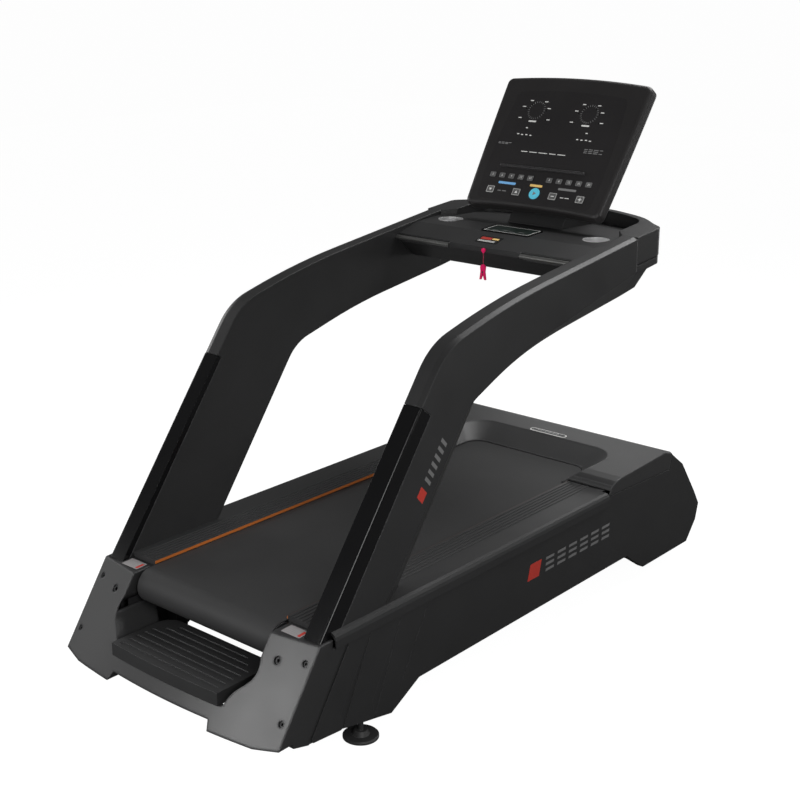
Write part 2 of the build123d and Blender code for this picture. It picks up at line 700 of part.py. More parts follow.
# The lift frame swings on the ears and carries the front wheels; it starts folded on its stop.
lift_frame = Part()
arm_side = [(pivot_y - 14, 250), (pivot_y, 258), (pivot_y + 16, 250), (905, 62), (905, 34), (880, 30),
            (pivot_y - 12, 226)]
for inner_x in (-274.0, 262.0):
    lift_frame += side_slab(arm_side, inner_x, inner_x + 12)
lift_frame += block((-262, 262), (720, 750), (140, 170))
for crank_x in (-24.0, 14.0):
    lift_frame += side_slab([(722, 170), (748, 170), (760, 205), (735, 205)], crank_x, crank_x + 10)
for side in (-1, 1):
    pin_x = (262, 292) if side > 0 else (-292, -262)
    lift_frame += rod(10, LIFT_PIVOT, *pin_x)
    axle_x = (262, 322) if side > 0 else (-322, -262)
    lift_frame += rod(8, WHEEL_AXLE, *axle_x)
finish(lift_frame, "lift_frame")

lift_wheel = rod(WHEEL_R, WHEEL_AXLE, 279, 319, bore=8 + BORE_GAP)
both_sides(lift_wheel, "lift_wheel")

with BuildPart() as levelling_foot:
    with BuildSketch():
        with Locations((FOOT_X, FOOT_Y)):
            Circle(FOOT_R)
    extrude(amount=9)
    chamfer(levelling_foot.faces().sort_by(Axis.Z)[-1].edges(), 3)
    with BuildSketch(Plane.XY.offset(9)):
        with Locations((FOOT_X, FOOT_Y)):
            Circle(26)
    extrude(amount=14, taper=25)
    with BuildSketch(Plane.XY.offset(20)):
        with Locations((FOOT_X, FOOT_Y)):
            Circle(8)
    extrude(amount=180)
    with BuildSketch(Plane.XY.offset(FOOT_STOP - 13)):
        with Locations((FOOT_X, FOOT_Y)):
            RegularPolygon(14, 6)
    extrude(amount=13)
both_sides(levelling_foot.part, "levelling_foot")


# ---- ring and tray ------------------------------------------------------------------------------
RING_LOW = 1100.0


def ring_plan(inset, rim):
    """Plan between the ring's outer edge, drawn in by inset, and the rim round the recess."""
    outer = ARM_OUT - inset
    nose = 889.0 - inset
    with BuildSketch(Plane.XY.offset(RING_LOW)) as plan:
        with BuildLine():
            Polyline((ARM_IN, ARM_END), (outer, ARM_END), (outer, 725))
            Spline((outer, 725), (413 - inset, 767), (340 - inset, 823), (228, 867 - inset), (0, nose),
                   tangents=[(0, 1), (-1, 0)])
            Line((0, nose), (0, 869 - rim))
            Spline((0, 869 - rim), (187, 855 - rim), (271 - rim, 830), (345 - rim, 745),
                   tangents=[(1, 0), (0, -1)])
            Polyline((345 - rim, 745), (345 - rim, 645), (ARM_IN, ARM_END))
        make_face()
        mirror(about=Plane.YZ)
    return plan.sketch


def level_cut(height, slope, ref_y, up):
    """Everything above (or below) a plane that climbs with Y."""
    low, high = height + slope * (500 - ref_y), height + slope * (1000 - ref_y)
    far = 1500.0 if up else 900.0
    return side_slab([(500, low), (1000, high), (1000, far), (500, far)], -500, 500)


with BuildPart() as ring_band:
    add(ring_plan(0.0, 0.0))
    extrude(amount=300)
band = ring_band.part - level_cut(RING_TOP, RING_SLOPE, RING_REF_Y, up=True)
band -= level_cut(GROOVE_Z + 4, GROOVE_SLOPE, ARM_END, up=False)
with BuildPart() as ring_neck:
    add(ring_plan(5.0, -3.0))
    extrude(amount=300)
groove_ring = ring_neck.part - level_cut(GROOVE_Z + 4, GROOVE_SLOPE, ARM_END, up=True)
groove_ring -= level_cut(GROOVE_Z - 2, GROOVE_SLOPE, ARM_END, up=False)
with BuildPart() as ring_chin:
    add(ring_plan(2.0, -3.0))
    extrude(amount=300)
chin = ring_chin.part - level_cut(GROOVE_Z - 2, GROOVE_SLOPE, ARM_END, up=True)
chin -= level_cut(1160, 0.12, 740, up=False)
with BuildPart() as chin_side:
    with BuildSketch(Plane.YZ.offset(ARM_IN)):
        with BuildLine():
            Polyline((ARM_END, 1060), (694, 1075), (742, 1165), (742, 1184), (ARM_END, 1170), close=True)
        make_face()
    with BuildSketch(Plane.YZ.offset(ARM_OUT - 2)):
        with BuildLine():
            Polyline((ARM_END, 1150), (690, 1168), (722, 1178), (722, 1181), (ARM_END, 1170), close=True)
        make_face()
    loft(ruled=True)
console_ring = band + groove_ring + chin
for jowl in (chin_side.part, mirror(chin_side.part, about=Plane.YZ)):
    console_ring += jowl
finish(console_ring, "console_ring")

TRAY_NOSE = (356.0, 1213.0)
TRAY_SIDE = [TRAY_NOSE, (464, 1244), (560, 1249), (900, 1240), (900, 1196), (600, 1130), (441, 1127),
             (356, 1196)]
TRAY_HALF = ARM_IN - 0.4


def tray_plan(inset):
    """Plan of the tray, drawn in by inset: a bar between the arms and a tongue inside the ring."""
    with BuildSketch() as plan:
        with BuildLine():
            Polyline((0, 356 + inset), (150 - inset, 356 + inset), (150 - inset, 366 + inset),
                     (TRAY_HALF - inset, 366 + inset), (TRAY_HALF - inset, ARM_END - 1),
                     (344 - inset, 645), (344 - inset, 745))
            Spline((344 - inset, 745), (270 - inset, 829 - inset / 2), (187, 854 - inset), (0, 868 - inset),
                   tangents=[(0, 1), (-1, 0)])
            Line((0, 868 - inset), (0, 356 + inset))
        make_face()
        mirror(about=Plane.YZ)
    return plan.sketch


with BuildPart() as tray_column:
    add(tray_plan(0.0))
    extrude(amount=1400)
tray = tray_column.part & side_slab(TRAY_SIDE, -TRAY_HALF, TRAY_HALF)
with BuildPart() as tray_core:
    add(tray_plan(4.0))
    extrude(amount=1400)
core_side = [(362, 1208), (464, 1239), (560, 1244), (900, 1235), (900, 1201), (600, 1135), (441, 1132),
             (362, 1199)]
tray -= tray_core.part & side_slab(core_side, -TRAY_HALF, TRAY_HALF)
for cup_side in (-1, 1):
    with BuildPart() as cup:
        with BuildSketch(Plane.XY.offset(1249 - CUP_DEPTH - 4)):
            with Locations((cup_side * CUP_X, CUP_Y)):
                Circle(CUP_R + 4)
        extrude(amount=CUP_DEPTH)
    with BuildPart() as cup_bore:
        with BuildSketch(Plane.XY.offset(1249 - CUP_DEPTH)):
            with Locations((cup_side * CUP_X, CUP_Y)):
                Circle(CUP_R)
        extrude(amount=CUP_DEPTH + 20)
    tray += cup.part
    tray -= cup_bore.part
finish(tray - console_ring, "console_tray")

with BuildPart() as cup_liners:
    with BuildSketch(Plane.XY.offset(1249 - CUP_DEPTH)):
        with Locations((-CUP_X, CUP_Y), (CUP_X, CUP_Y)):
            Circle(CUP_R)
    extrude(amount=CUP_DEPTH - 1)
    with BuildSketch(Plane.XY.offset(1249 - CUP_DEPTH + 2)):
        with Locations((-CUP_X, CUP_Y), (CUP_X, CUP_Y)):
            Circle(CUP_R - 2)
    extrude(amount=CUP_DEPTH, mode=Mode.SUBTRACT)
finish(cup_liners.part, "cup_liners")

pad_plane = Plane(origin=(0, 512, 1246.5), x_dir=(1, 0, 0), z_dir=(0, -5 / 96.13, 96 / 96.13))
with BuildPart() as centre_pad:
    with BuildSketch(pad_plane):
        RectangleRounded(200, 92, 6)
    extrude(amount=4)
    with BuildSketch(pad_plane.offset(4)):
        RectangleRounded(190, 82, 4)
    extrude(amount=-1.5, mode=Mode.SUBTRACT)
finish(centre_pad.part, "centre_pad")

grip_y, grip_z = 356.0, 1203.0
grip = rod(8, (grip_y, grip_z), 150.4, TRAY_HALF)
grip_bars = Part() + [grip, mirror(grip, about=Plane.YZ)]
finish(grip_bars, "grip_bars")


# ---- safety key ---------------------------------------------------------------------------------
KEY_FACE_Y = 356.0
KEY_TAB_Z = 1195.0
CLIP_TOP = 1156.0
with BuildPart() as safety_key:
    with BuildSketch(Plane.XZ.offset(-KEY_FACE_Y)):
        with Locations((0, 1204.5)):
            Circle(7)
    extrude(amount=6)
key_tab = block((-3, 3), (KEY_FACE_Y - 5.5, KEY_FACE_Y - 0.5), (KEY_TAB_Z, 1204))
finish(safety_key.part + key_tab, "safety_key")

CORD_R = 1.5
CORD_ROUTE = [(0, 353, KEY_TAB_Z), (0, 353, 1182), (0.4, 352.6, 1169), (0.4, 352.6, CLIP_TOP)]


def corner_radii(route):
    """The largest radius that each corner of a cord's route leaves room for."""
    radii = []
    for before, here, after in zip(route, route[1:], route[2:]):
        first = Vector(*here) - Vector(*before)
        second = Vector(*after) - Vector(*here)
        half_turn = radians(first.get_angle(second)) / 2
        radii.append(0.45 * min(first.length, second.length) / tan(half_turn))
    return radii


cord_radii = corner_radii(CORD_ROUTE)
print("cord radii", [round(radius) for radius in cord_radii])
with BuildPart() as key_cord:
    with BuildLine() as cord_line:
        FilletPolyline(*CORD_ROUTE, radius=cord_radii)
    with BuildSketch(Plane(cord_line.line @ 0, z_dir=cord_line.line % 0)):
        Circle(CORD_R)
    sweep()
finish(key_cord.part, "key_cord")

with BuildPart() as key_clip:
    with BuildSketch(Plane.XZ.offset(-349.4)):
        with BuildLine():
            Polyline((-4, CLIP_TOP), (4, CLIP_TOP), (11, CLIP_TOP - 8), (9, CLIP_TOP - 24),
                     (13, CLIP_TOP - 52), (7, CLIP_TOP - 52), (0, CLIP_TOP - 32), (-7, CLIP_TOP - 52),
                     (-13, CLIP_TOP - 52), (-9, CLIP_TOP - 24), (-11, CLIP_TOP - 8), close=True)
        make_face()
    extrude(amount=-6)
finish(key_clip.part, "key_clip")


# ---- console ------------------------------------------------------------------------------------
LEAN = radians(CONSOLE_LEAN)
FACE_NORMAL = Vector(0, -cos(LEAN), sin(LEAN))
face_plane = Plane(origin=(0, *CONSOLE_FOOT), x_dir=(1, 0, 0), z_dir=FACE_NORMAL)


def console_outline(inset):
    """The console's face outline: bowed sides and a shallow crown, in the plane of the face."""
    with BuildSketch(face_plane) as outline:
        with BuildLine():
            ThreePointArc((-281 + inset, -5 + inset), (0, 6 + inset), (281 - inset, -5 + inset))
            ThreePointArc((281 - inset, -5 + inset), (294 - inset, 240), (303 - inset, 503 - inset))
            ThreePointArc((303 - inset, 503 - inset), (0, 519 - inset), (-303 + inset, 503 - inset))
            ThreePointArc((-303 + inset, 503 - inset), (-294 + inset, 240), (-281 + inset, -5 + inset))
        make_face()
        fillet(outline.vertices(), 24)
    return outline.sketch


def sunk_outline(inset, depth):
    """The console outline, drawn in by inset, at a depth behind the face."""
    return console_outline(inset).moved(Location(-FACE_NORMAL * depth))


with BuildPart() as console_front:
    extrude(console_outline(0.0), amount=CONSOLE_FRONT_THICK, dir=-FACE_NORMAL)
    front_edges = console_front.faces().sort_by(Axis((0, 0, 0), tuple(FACE_NORMAL)))[-1].edges()
    fillet(front_edges, CONSOLE_ROUNDING)
with BuildPart() as front_core:
    extrude(sunk_outline(8.0, KEY_DEPTH + 6), amount=CONSOLE_FRONT_THICK, dir=-FACE_NORMAL)
console_shell = console_front.part - front_core.part


CONSOLE_DEPTH = CONSOLE_FRONT_THICK + CONSOLE_BACK_THICK
with BuildPart() as console_back:
    add(sunk_outline(0.0, CONSOLE_FRONT_THICK))
    add(sunk_outline(18.0, CONSOLE_DEPTH))
    loft(ruled=True)
with BuildPart() as back_core:
    add(sunk_outline(7.0, CONSOLE_FRONT_THICK))
    add(sunk_outline(23.0, CONSOLE_DEPTH - 5))
    loft(ruled=True)

# Each key is (x, y) on the face with its (width, height).
KEYS = {}
for number in range(5):
    KEYS[f"quick_key_left_{number + 1}"] = (-202 + 40.5 * number, 115.5, 24, 19)
    KEYS[f"quick_key_right_{number + 1}"] = (40 + 40.5 * number, 115.5, 24, 19)
for label, key_x in (("incline_down", -189), ("incline_up", -77), ("speed_down", 77), ("speed_up", 189)):
    KEYS[f"{label}_key"] = (key_x, 58, 32, 27)
START_SPOT = (0, 60)
START_R = 21.0


def key_cap(x, y, width, height, grow, top, depth):
    """A rounded key, or with grow the pocket that it runs in."""
    with BuildPart() as cap_of_key:
        with BuildSketch(face_plane.offset(top)):
            with Locations((x, y)):
                RectangleRounded(width + 2 * grow, height + 2 * grow, 3 + grow)
        extrude(amount=-depth)
    return cap_of_key.part


def round_cap(grow, top, depth):
    """The round start key, or its pocket."""
    with BuildPart() as cap_of_start:
        with BuildSketch(face_plane.offset(top)):
            with Locations(START_SPOT):
                Circle(START_R + grow)
        extrude(amount=-depth)
    return cap_of_start.part


for name, (key_x, key_y, width, height) in KEYS.items():
    console_shell -= key_cap(key_x, key_y, width, height, KEY_GAP, 5, 5 + KEY_DEPTH)
    finish(key_cap(key_x, key_y, width, height, 0, KEY_PROUD, KEY_PROUD + KEY_DEPTH - 1.5), name)
console_shell -= round_cap(KEY_GAP, 5, 5 + KEY_DEPTH)
finish(round_cap(0, KEY_PROUD, KEY_PROUD + KEY_DEPTH - 1.5), "start_key")
finish(console_back.part - back_core.part, "console_back")

# A shallow ledge above the keys holds a book or a tablet.
with BuildPart() as reading_ledge:
    with BuildSketch(face_plane):
        with Locations((-6, 153)):
            RectangleRounded(356, 9, 4)
    extrude(amount=9)
    fillet(reading_ledge.faces().sort_by(Axis((0, 0, 0), tuple(FACE_NORMAL)))[-1].edges(), 2)
finish(console_shell + reading_ledge.part, "console_front")

# The neck stands on the tray and carries the console by the middle of its back.
with BuildPart() as console_neck:
    with BuildSketch(Plane.YZ.offset(-NECK_HALF)):
        with BuildLine():
            Polyline(*NECK_SIDE, close=True)
        make_face()
    extrude(amount=2 * NECK_HALF)
    with BuildSketch(Plane.YZ.offset(WALL - NECK_HALF)):
        with BuildLine():
            Polyline(*NECK_SIDE, close=True)
        make_face()
        offset(amount=-WALL, kind=Kind.INTERSECTION)
    extrude(amount=2 * (NECK_HALF - WALL), mode=Mode.SUBTRACT)
finish(console_neck.part, "console_neck")
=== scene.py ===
import json
from math import cos, pi, radians, sin

import bmesh
import bpy
from mathutils import Matrix, Vector


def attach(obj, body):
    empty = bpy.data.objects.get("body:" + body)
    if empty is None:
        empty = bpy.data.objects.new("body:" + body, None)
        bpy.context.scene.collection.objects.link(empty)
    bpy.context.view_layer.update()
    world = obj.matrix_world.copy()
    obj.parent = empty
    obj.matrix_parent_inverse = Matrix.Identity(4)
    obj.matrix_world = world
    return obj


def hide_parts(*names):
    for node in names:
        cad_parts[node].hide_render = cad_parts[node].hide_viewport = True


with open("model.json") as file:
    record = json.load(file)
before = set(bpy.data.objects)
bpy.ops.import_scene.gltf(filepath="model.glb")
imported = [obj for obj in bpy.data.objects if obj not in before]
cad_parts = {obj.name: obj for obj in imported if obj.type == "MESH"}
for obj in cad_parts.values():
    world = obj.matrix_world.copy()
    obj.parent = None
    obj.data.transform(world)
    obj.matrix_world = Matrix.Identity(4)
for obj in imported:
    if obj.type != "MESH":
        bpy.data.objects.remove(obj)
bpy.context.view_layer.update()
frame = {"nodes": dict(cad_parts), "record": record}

MM = 0.001

# ---- camera -------------------------------------------------------------------------------------
CAMERA_PLACE = Vector((2.7573, -3.277, 2.1115))
CAMERA_AZIMUTH = radians(40.753)
CAMERA_PITCH = radians(17.487)
CAMERA_ROLL = radians(-0.096)
LENS_MM = 61.86
SENSOR_MM = 36.0


def make_camera():
    """The camera looks forward and down across the machine from behind its right rear corner."""
    forward = Vector((
        -sin(CAMERA_AZIMUTH) * cos(CAMERA_PITCH),
        cos(CAMERA_AZIMUTH) * cos(CAMERA_PITCH),
        -sin(CAMERA_PITCH),
    ))
    level_right = Vector((cos(CAMERA_AZIMUTH), sin(CAMERA_AZIMUTH), 0.0))
    level_up = level_right.cross(forward)
    right = level_right * cos(CAMERA_ROLL) + level_up * sin(CAMERA_ROLL)
    up = level_up * cos(CAMERA_ROLL) - level_right * sin(CAMERA_ROLL)
    data = bpy.data.cameras.new("camera")
    data.lens = LENS_MM
    data.sensor_width = SENSOR_MM
    camera = bpy.data.objects.new("camera", data)
    axes = Matrix((right, up, -forward)).transposed().to_4x4()
    camera.matrix_world = Matrix.Translation(CAMERA_PLACE) @ axes
    bpy.context.collection.objects.link(camera)
    bpy.context.scene.camera = camera


make_camera()


# ---- safety cord --------------------------------------------------------------------------------
CORD_RADIUS = 0.0015
CORD_BEVEL_STEPS = 3
CORD_ROUTE = [(0, 0.353, 1.195), (0, 0.353, 1.182), (0.0004, 0.3526, 1.169), (0.0004, 0.3526, 1.156)]


def make_cord():
    """The short cord from the safety key down to its clip.

    Its thickness is the radius of each point times a bevel depth of one.
    """
    curve = bpy.data.curves.new("safety_cord", "CURVE")
    curve.dimensions = "3D"
    curve.bevel_depth = 1.0
    curve.bevel_resolution = CORD_BEVEL_STEPS
    spline = curve.splines.new("NURBS")
    spline.points.add(len(CORD_ROUTE) - 1)
    for point, place in zip(spline.points, CORD_ROUTE):
        point.co = (*place, 1)
        point.radius = CORD_RADIUS
    spline.order_u = 3
    spline.use_endpoint_u = True
    cord = bpy.data.objects.new("safety_cord", curve)
    bpy.context.collection.objects.link(cord)
    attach(cord, "safety_tether")
    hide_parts("key_cord")
    return cord


safety_cord = make_cord()


# ---- floor and light ----------------------------------------------------------------------------
BACKDROP_WHITE = 0.985
BACKDROP_LIGHT = 0.11
FLOOR_WHITE = 0.972
FLOOR_GREY = 0.14
FLOOR_HALF = 14.0
FLOOR_DROP = 0.0005
LIGHTS = (      # name, place and target in metres, size in metres, power in watts
    ("top_softbox", (0.5, 2.4, 3.6), (0, 0.4, 0.4), (3.0, 2.2), 95),
    ("rear_softbox", (-0.52, -2.88, 1.18), (0.37, -1.12, 0.28), (0.75, 0.75), 26),
    ("rear_left_fill", (-2.45, -2.15, 0.85), (-0.37, -1.12, 0.28), (1.0, 1.0), 5),
    ("right_softbox", (2.3, -1.9, 1.6), (0.44, -0.8, 0.6), (1.0, 1.3), 26),
    ("front_left_softbox", (-1.6, 3.6, 1.2), (0, 0.9, 0.4), (1.2, 0.8), 6),
    ("right_fill", (3.6, 1.6, 1.2), (0.4, 0.2, 0.6), (1.6, 1.6), 18),
    ("left_fill", (-4.0, -0.4, 2.0), (-0.4, 0, 0.6), (1.8, 1.8), 30),
    ("front_fill", (0.6, 4.6, 1.0), (0, 1.1, 0.5), (1.6, 1.2), 16),
)


def area_light(name, place, target, size, power):
    """A softbox of (width, height) that faces its target."""
    data = bpy.data.lights.new(name, "AREA")
    data.shape = "RECTANGLE"
    data.size, data.size_y = size
    data.energy = power
    lamp = bpy.data.objects.new(name, data)
    aim = (Vector(target) - Vector(place)).to_track_quat("-Z", "Y")
    lamp.matrix_world = Matrix.Translation(place) @ aim.to_matrix().to_4x4()
    lamp.visible_camera = False
    bpy.context.collection.objects.link(lamp)


def add_node(tree, kind, **values):
    """A shader node with some of its inputs set."""
    node = tree.nodes.new(kind)
    for socket, value in values.items():
        node.inputs[socket.replace("_", " ")].default_value = value
    return node


def make_world():
    """The backdrop is white to the camera and a dim grey as light."""
    world = bpy.data.worlds.new("studio")
    world.use_nodes = True
    tree = world.node_tree
    tree.nodes.clear()
    path = tree.nodes.new("ShaderNodeLightPath")
    white = add_node(tree, "ShaderNodeBackground", Color=(1, 1, 1, 1), Strength=BACKDROP_WHITE)
    soft = add_node(tree, "ShaderNodeBackground", Color=(1, 1, 1, 1), Strength=BACKDROP_LIGHT)
    mix = tree.nodes.new("ShaderNodeMixShader")
    out = tree.nodes.new("ShaderNodeOutputWorld")
    tree.links.new(path.outputs["Is Camera Ray"], mix.inputs[0])
    tree.links.new(soft.outputs[0], mix.inputs[1])
    tree.links.new(white.outputs[0], mix.inputs[2])
    tree.links.new(mix.outputs[0], out.inputs[0])
    bpy.context.scene.world = world


def make_floor():
    """A wide floor, lit to white for the camera and grey in what the machine reflects."""
    mesh = bpy.data.meshes.new("floor")
    corners = [(-1, -1), (1, -1), (1, 1), (-1, 1)]
    places = [(x * FLOOR_HALF, y * FLOOR_HALF, -FLOOR_DROP) for x, y in corners]
    mesh.from_pydata(places, [], [(0, 1, 2, 3)])
    floor = bpy.data.objects.new("floor", mesh)
    bpy.context.collection.objects.link(floor)
    material = bpy.data.materials.new("floor_white")
    material.use_nodes = True
    tree = material.node_tree
    tree.nodes.clear()
    path = tree.nodes.new("ShaderNodeLightPath")
    glow = add_node(tree, "ShaderNodeEmission", Color=(1, 1, 1, 1), Strength=FLOOR_WHITE)
    sheet = add_node(tree, "ShaderNodeBsdfDiffuse", Color=(FLOOR_GREY, FLOOR_GREY, FLOOR_GREY, 1))
    lit = tree.nodes.new("ShaderNodeAddShader")
    mix = tree.nodes.new("ShaderNodeMixShader")
    out = tree.nodes.new("ShaderNodeOutputMaterial")
    tree.links.new(glow.outputs[0], lit.inputs[0])
    tree.links.new(sheet.outputs[0], lit.inputs[1])
    tree.links.new(path.outputs["Is Camera Ray"], mix.inputs[0])
    tree.links.new(sheet.outputs[0], mix.inputs[1])
    tree.links.new(lit.outputs[0], mix.inputs[2])
    tree.links.new(mix.outputs[0], out.inputs[0])
    mesh.materials.append(material)


make_world()
make_floor()
for light in LIGHTS:
    area_light(*light)
bpy.context.scene.view_settings.view_transform = "Standard"


# ---- materials ----------------------------------------------------------------------------------
CLOUD_SCALE = 7.0
CLOUD_DETAIL = 5.0
GLOSS_LOW = 0.88
GLOSS_HIGH = 1.14
EDGE_STARTS = 0.99      # cosine of the angle between the rounded and the flat normal
EDGE_FULL = 0.8
# Pale grey for the edges: partly wear, partly a painted edge highlight.
EDGE_WEAR_AND_SHEEN = (0.16, 0.16, 0.165, 1)
PEBBLE_SCALE = 450.0
PEBBLE_STRENGTH = 0.7
GRAIN_DETAIL = 2.0
GRAIN_STRENGTH = 0.6
BEVEL_SAMPLES = 4


def shade(name, colour, rough, grain=0.0, grain_size=0.6, vary=0.15, metallic=0.0, specular=0.5,
          bevel=0.8, wear_and_sheen=0.0, pebble=0.0, glow=0.0):
    """A procedural finish: slight colour and gloss variation, a fine grain, and soft edges lightened partly
    as wear and partly as a painted edge highlight.

    In millimetres: grain is the height of the fine bump and grain_size its size, bevel the radius of
    the shaded edge, pebble the height of a coarser dimple.  The wear and sheen argument is how far
    the edges go to the pale edge colour, partly wear and partly a painted edge highlight, and glow is
    the strength of a painted glow in the same colour, on parts that are no lamps.
    """
    material = bpy.data.materials.new(name)
    material.use_nodes = True
    tree = material.node_tree
    link = tree.links.new
    shader = tree.nodes["Principled BSDF"]
    shader.inputs["Metallic"].default_value = metallic
    shader.inputs["Specular IOR Level"].default_value = specular
    # Painted glow: the part gives off light in its own colour, though it is no lamp.
    shader.inputs["Emission Color"].default_value = (*colour, 1)
    shader.inputs["Emission Strength"].default_value = glow
    place = tree.nodes.new("ShaderNodeTexCoord")

    cloud = add_node(tree, "ShaderNodeTexNoise", Scale=CLOUD_SCALE, Detail=CLOUD_DETAIL)
    link(place.outputs["Object"], cloud.inputs["Vector"])
    tint = tree.nodes.new("ShaderNodeMix")
    tint.data_type = "RGBA"
    tint.inputs["A"].default_value = (*[part * (1 - vary) for part in colour], 1)
    tint.inputs["B"].default_value = (*[part * (1 + vary) for part in colour], 1)
    link(cloud.outputs["Fac"], tint.inputs["Factor"])
    surface = tint.outputs["Result"]

    gloss = tree.nodes.new("ShaderNodeMapRange")
    gloss.inputs["To Min"].default_value = rough * GLOSS_LOW
    gloss.inputs["To Max"].default_value = rough * GLOSS_HIGH
    link(cloud.outputs["Fac"], gloss.inputs["Value"])
    link(gloss.outputs["Result"], shader.inputs["Roughness"])

    soft_edge = tree.nodes.new("ShaderNodeBevel")
    soft_edge.samples = BEVEL_SAMPLES
    soft_edge.inputs["Radius"].default_value = bevel * MM
    normal = soft_edge.outputs["Normal"]
    # Painted edge highlight and wear: the edges are lightened toward the pale edge colour.
    if wear_and_sheen:
        flat = tree.nodes.new("ShaderNodeNewGeometry")
        match = tree.nodes.new("ShaderNodeVectorMath")
        match.operation = "DOT_PRODUCT"
        link(normal, match.inputs[0])
        link(flat.outputs["Normal"], match.inputs[1])
        edge = tree.nodes.new("ShaderNodeMapRange")
        edge.inputs["From Min"].default_value = EDGE_STARTS
        edge.inputs["From Max"].default_value = EDGE_FULL
        edge.inputs["To Max"].default_value = wear_and_sheen
        link(match.outputs["Value"], edge.inputs["Value"])
        edge_wear_and_sheen = tree.nodes.new("ShaderNodeMix")
        edge_wear_and_sheen.data_type = "RGBA"
        edge_wear_and_sheen.inputs["B"].default_value = EDGE_WEAR_AND_SHEEN
        link(edge.outputs["Result"], edge_wear_and_sheen.inputs["Factor"])
        link(surface, edge_wear_and_sheen.inputs["A"])
        surface = edge_wear_and_sheen.outputs["Result"]
    link(surface, shader.inputs["Base Color"])

    if pebble:
        cell = add_node(tree, "ShaderNodeTexVoronoi", Scale=PEBBLE_SCALE)
        link(place.outputs["Object"], cell.inputs["Vector"])
        dimple = tree.nodes.new("ShaderNodeBump")
        dimple.inputs["Distance"].default_value = pebble * MM
        dimple.inputs["Strength"].default_value = PEBBLE_STRENGTH
        link(cell.outputs["Distance"], dimple.inputs["Height"])
        link(normal, dimple.inputs["Normal"])
        normal = dimple.outputs["Normal"]
    if grain:
        speck = add_node(tree, "ShaderNodeTexNoise", Scale=1.0 / (grain_size * MM), Detail=GRAIN_DETAIL)
        link(place.outputs["Object"], speck.inputs["Vector"])
        bump = tree.nodes.new("ShaderNodeBump")
        bump.inputs["Distance"].default_value = grain * MM
        bump.inputs["Strength"].default_value = GRAIN_STRENGTH
        link(speck.outputs["Fac"], bump.inputs["Height"])
        link(normal, bump.inputs["Normal"])
        normal = bump.outputs["Normal"]
    link(normal, shader.inputs["Normal"])
    return material


FINISH = {
    "satin_black": shade("satin_black", (0.026, 0.026, 0.0265), 0.42, grain=0.05, specular=0.45,
                         bevel=5.0, wear_and_sheen=0.18),
    "hood_black": shade("hood_black", (0.034, 0.034, 0.0345), 0.46, grain=0.06, specular=0.5, bevel=9.0,
                        wear_and_sheen=0.3),
    "gloss_black": shade("gloss_black", (0.005, 0.005, 0.0055), 0.18, specular=0.35, bevel=1.0),
    "rail_black": shade("rail_black", (0.024, 0.024, 0.0245), 0.5, grain=0.05, specular=0.5, bevel=0.8),
    "orange_trim": shade("orange_trim", (0.62, 0.17, 0.03), 0.4, grain=0.03, bevel=0.4),
    "belt_rubber": shade("belt_rubber", (0.034, 0.034, 0.0345), 0.6, grain=0.2, grain_size=1.2,
                         specular=0.35, pebble=0.15),
    "rubber": shade("rubber", (0.016, 0.016, 0.016), 0.75, grain=0.1, specular=0.3, wear_and_sheen=0.2),
    "board": shade("board", (0.25, 0.18, 0.12), 0.6, grain=0.2, grain_size=3.0),
    "frame_paint": shade("frame_paint", (0.02, 0.02, 0.021), 0.5, grain=0.08, bevel=1.5, wear_and_sheen=0.1),
    "steel": shade("steel", (0.12, 0.12, 0.12), 0.35, grain=0.03, metallic=1.0, bevel=0.6),
    "roller_alloy": shade("roller_alloy", (0.5, 0.5, 0.51), 0.3, metallic=1.0),
    "cast": shade("cast", (0.06, 0.06, 0.06), 0.7, grain=0.3, grain_size=2.0, metallic=0.5),
    "liner": shade("liner", (0.8, 0.8, 0.8), 0.35, metallic=0.6, bevel=0.5),
    # The console's edges are lightened strongly: partly wear, partly a painted highlight on the bezel.
    "console_black": shade("console_black", (0.03, 0.028, 0.0285), 0.38, grain=0.04, specular=0.5,
                           bevel=7.0, wear_and_sheen=0.8),
    "key_grey": shade("key_grey", (0.17, 0.17, 0.17), 0.4, bevel=1.0),
    # The start key and the clip carry a painted glow; neither is a lamp.
    "key_cyan": shade("key_cyan", (0.12, 0.6, 0.78), 0.35, bevel=1.5, glow=0.3),
    "clip_red": shade("clip_red", (0.75, 0.01, 0.12), 0.3, bevel=0.8, glow=0.25),
    "cord_red": shade("cord_red", (0.5, 0.05, 0.1), 0.8, grain=0.1),
}


LEVEL_STARTS = 0.5      # height of the unit normal at which a face counts as partly level
LEVEL_FULL = 0.7
TRIM_TOP = (0.05, 0.022, 0.012)


def face_only(material, colour):
    """Keeps a finish on upright faces and paints the level ones in a plain colour."""
    tree = material.node_tree
    shader = tree.nodes["Principled BSDF"]
    painted = shader.inputs["Base Color"].links[0].from_socket
    geometry = tree.nodes.new("ShaderNodeNewGeometry")
    parts = tree.nodes.new("ShaderNodeSeparateXYZ")
    step = tree.nodes.new("ShaderNodeMapRange")
    step.inputs["From Min"].default_value = LEVEL_STARTS
    step.inputs["From Max"].default_value = LEVEL_FULL
    swap = tree.nodes.new("ShaderNodeMix")
    swap.data_type = "RGBA"
    swap.inputs["B"].default_value = (*colour, 1)
    tree.links.new(geometry.outputs["True Normal"], parts.inputs[0])
    tree.links.new(parts.outputs["Z"], step.inputs["Value"])
    tree.links.new(step.outputs["Result"], swap.inputs["Factor"])
    tree.links.new(painted, swap.inputs["A"])
    tree.links.new(swap.outputs["Result"], shader.inputs["Base Color"])


face_only(FINISH["orange_trim"], TRIM_TOP)

